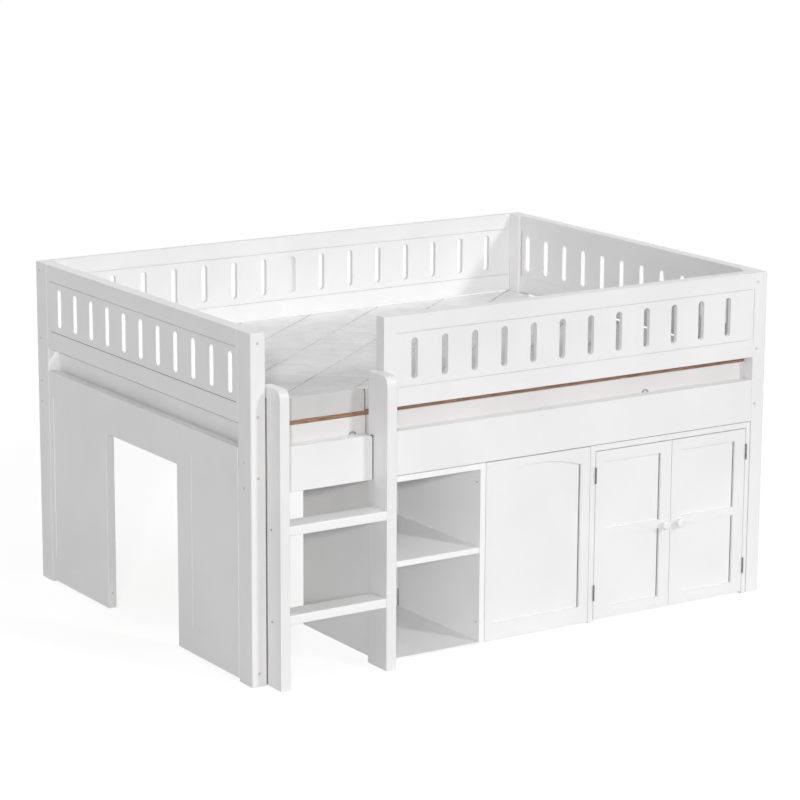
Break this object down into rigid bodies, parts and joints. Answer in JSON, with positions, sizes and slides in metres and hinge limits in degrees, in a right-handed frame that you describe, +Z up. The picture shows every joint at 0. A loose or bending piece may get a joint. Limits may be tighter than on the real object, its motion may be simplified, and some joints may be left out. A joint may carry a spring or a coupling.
{
  "type": "loft bed with desk",
  "caption": "Low loft bed with slotted guards and a short ladder, over a bookcase, a rolling desk with an arched end panel and a cabinet with doors.",
  "frame": {"origin": "on the floor, under the middle of the bed's box with its ladder", "axes": "+X to the right along the front, +Y to the back, +Z up"},
  "size_m": [2.005, 1.539, 1.115],
  "materials": {
    "white_paint": "white painted solid wood and board, satin",
    "knob_paint": "white painted turned wood, satin",
    "slat_wood": "planed pine, unpainted",
    "pad_quilting": "white polyester cloth, quilted in diamonds",
    "stained_batten": "brown wood batten, unpainted",
    "hinge_steel": "dark brushed steel",
    "caster_zinc": "zinc plated pressed steel",
    "wheel_rubber": "dark grey rubber"
  },
  "bodies": {
    "bed_frame": {"post_front_left": "white_paint", "post_back_left": "white_paint", "post_front_right": "white_paint", "post_back_right": "white_paint", "front_guard": "white_paint", "back_guard": "white_paint", "left_guard": "white_paint", "right_guard": "white_paint", "back_guard_stile": "white_paint", "front_rail": "white_paint", "back_rail": "white_paint", "left_rail": "white_paint", "right_rail": "white_paint", "front_apron": "white_paint", "ladder_bay_apron": "white_paint", "back_apron": "white_paint", "ladder_bay_retainer": "white_paint", "front_retainer": "white_paint", "centre_leg_left": "white_paint", "centre_leg_right": "white_paint", "left_end_panel": "white_paint", "right_end_panel": "white_paint", "ladder_stile_left": "white_paint", "ladder_stile_right": "white_paint", "ladder_tread_1": "white_paint", "ladder_tread_2": "white_paint", "bookcase_side_left": "white_paint", "bookcase_side_right": "white_paint", "bookcase_top": "white_paint", "bookcase_shelf": "white_paint", "bookcase_floor": "white_paint", "bookcase_back": "white_paint", "cabinet_side_left": "white_paint", "cabinet_side_right": "white_paint", "cabinet_top": "white_paint", "cabinet_floor": "white_paint", "cabinet_back": "white_paint", "front_slat_batten": "stained_batten", "slat_deck": "slat_wood", "deck_pad": "pad_quilting", "left_hinge_lower": "hinge_steel", "left_hinge_upper": "hinge_steel", "right_hinge_lower": "hinge_steel", "right_hinge_upper": "hinge_steel"},
    "left_door": {"left_door": "white_paint", "left_door_knob": "knob_paint"},
    "right_door": {"right_door": "white_paint", "right_door_knob": "knob_paint"},
    "desk": {"desk_end_panel": "white_paint", "desk_top": "white_paint", "desk_leg_panel": "white_paint", "desk_stretcher": "white_paint", "caster_fork_front_left": "caster_zinc", "caster_fork_front_right": "caster_zinc", "caster_fork_rear_left": "caster_zinc", "caster_fork_rear_right": "caster_zinc"},
    "caster_wheel_front_left": {"caster_wheel_front_left": "wheel_rubber"},
    "caster_wheel_front_right": {"caster_wheel_front_right": "wheel_rubber"},
    "caster_wheel_rear_left": {"caster_wheel_rear_left": "wheel_rubber"},
    "caster_wheel_rear_right": {"caster_wheel_rear_right": "wheel_rubber"}
  },
  "joints": [
    {"name": "left_door_hinge", "type": "hinge", "parent": "bed_frame", "child": "left_door", "pos_m": [0.2975, -0.694, 0.297], "axis": [0, 0, -1], "range_deg": [0, 90]},
    {"name": "right_door_hinge", "type": "hinge", "parent": "bed_frame", "child": "right_door", "pos_m": [0.9295, -0.694, 0.297], "axis": [0, 0, 1], "range_deg": [0, 110]},
    {"name": "desk_slide", "type": "slide", "parent": "bed_frame", "child": "desk", "axis": [0, -1, 0], "range_m": [0, 0.9]},
    {"name": "wheel_spin_front_left", "type": "hinge", "parent": "desk", "child": "caster_wheel_front_left", "pos_m": [-0.0765, -0.6385, 0.025], "axis": [1, 0, 0], "range_deg": [0, 2070]},
    {"name": "wheel_spin_front_right", "type": "hinge", "parent": "desk", "child": "caster_wheel_front_right", "pos_m": [0.2155, -0.6385, 0.025], "axis": [1, 0, 0], "range_deg": [0, 2070]},
    {"name": "wheel_spin_rear_left", "type": "hinge", "parent": "desk", "child": "caster_wheel_rear_left", "pos_m": [-0.0765, 0.2575, 0.025], "axis": [1, 0, 0], "range_deg": [0, 2070]},
    {"name": "wheel_spin_rear_right", "type": "hinge", "parent": "desk", "child": "caster_wheel_rear_right", "pos_m": [0.2155, 0.2575, 0.025], "axis": [1, 0, 0], "range_deg": [0, 2070]}
  ],
  "couplings": [
    {"joint": "wheel_spin_front_left", "follows": "desk_slide", "rad_per_m": 40},
    {"joint": "wheel_spin_front_right", "follows": "desk_slide", "rad_per_m": 40},
    {"joint": "wheel_spin_rear_left", "follows": "desk_slide", "rad_per_m": 40},
    {"joint": "wheel_spin_rear_right", "follows": "desk_slide", "rad_per_m": 40}
  ]
}
